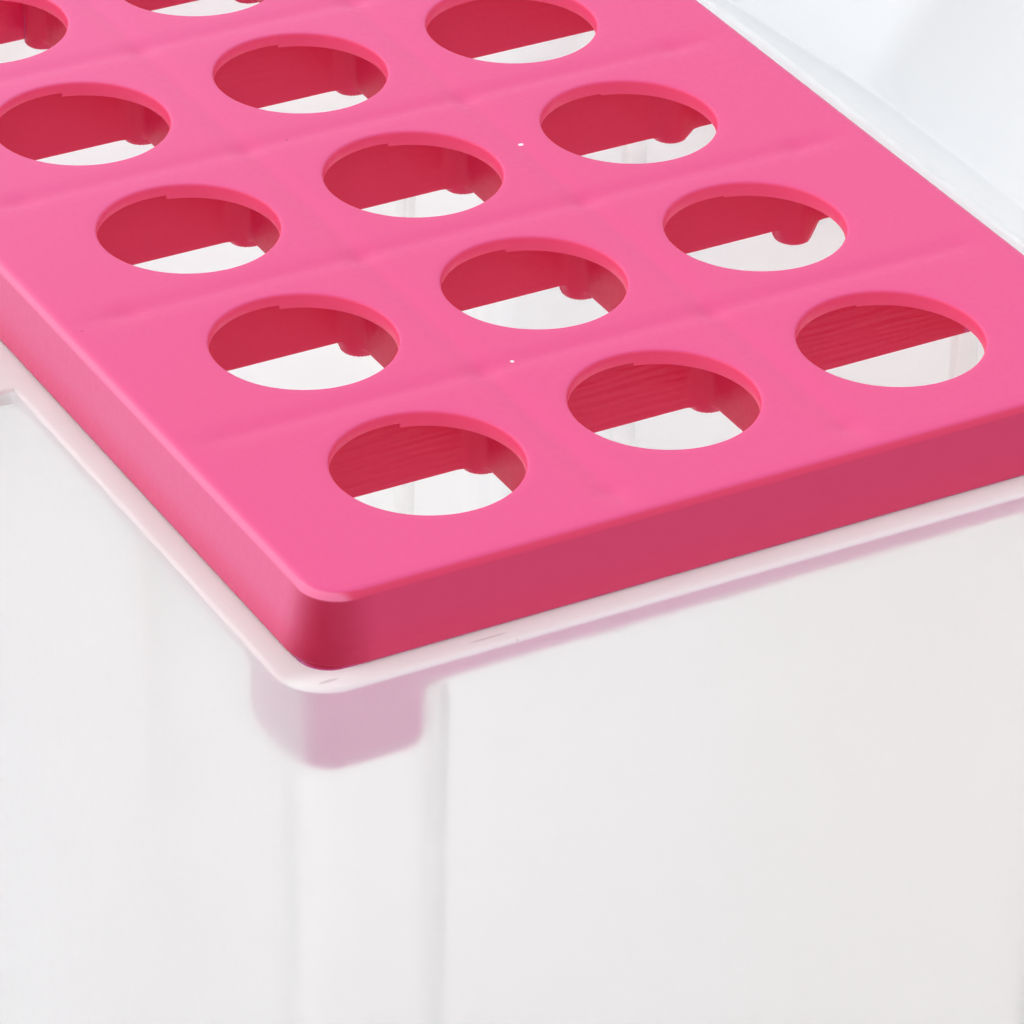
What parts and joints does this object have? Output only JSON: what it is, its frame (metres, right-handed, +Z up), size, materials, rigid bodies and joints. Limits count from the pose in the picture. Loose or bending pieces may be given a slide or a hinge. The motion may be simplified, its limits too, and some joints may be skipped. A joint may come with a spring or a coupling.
{
  "type": "pipette tip rack",
  "caption": "Deep translucent tip box with a hinged lid swung open, and a pink moulded tray of round holes that sits raised in its mouth.",
  "frame": {"origin": "middle of the box's underside, where it stands on the bench", "axes": "+Z up, +X from the latch side to the hinge side, +Y along the rows of five holes"},
  "size_m": [0.1868, 0.124, 0.2016],
  "materials": {
    "tray_plastic": "satin pink polypropylene, slightly translucent, with soft sink marks above the ribs",
    "box_plastic": "milky translucent polypropylene, satin",
    "lid_plastic": "milky translucent polypropylene, smoother than the box"
  },
  "bodies": {
    "box": {"box_base": "box_plastic", "tip_tray": "tray_plastic"},
    "lid": {"hinged_lid": "lid_plastic"}
  },
  "joints": [
    {"name": "lid_hinge", "type": "hinge", "parent": "box", "child": "lid", "pos_m": [0.04645, 0, 0.133], "axis": [0, -1, 0], "range_deg": [0, 130]}
  ]
}
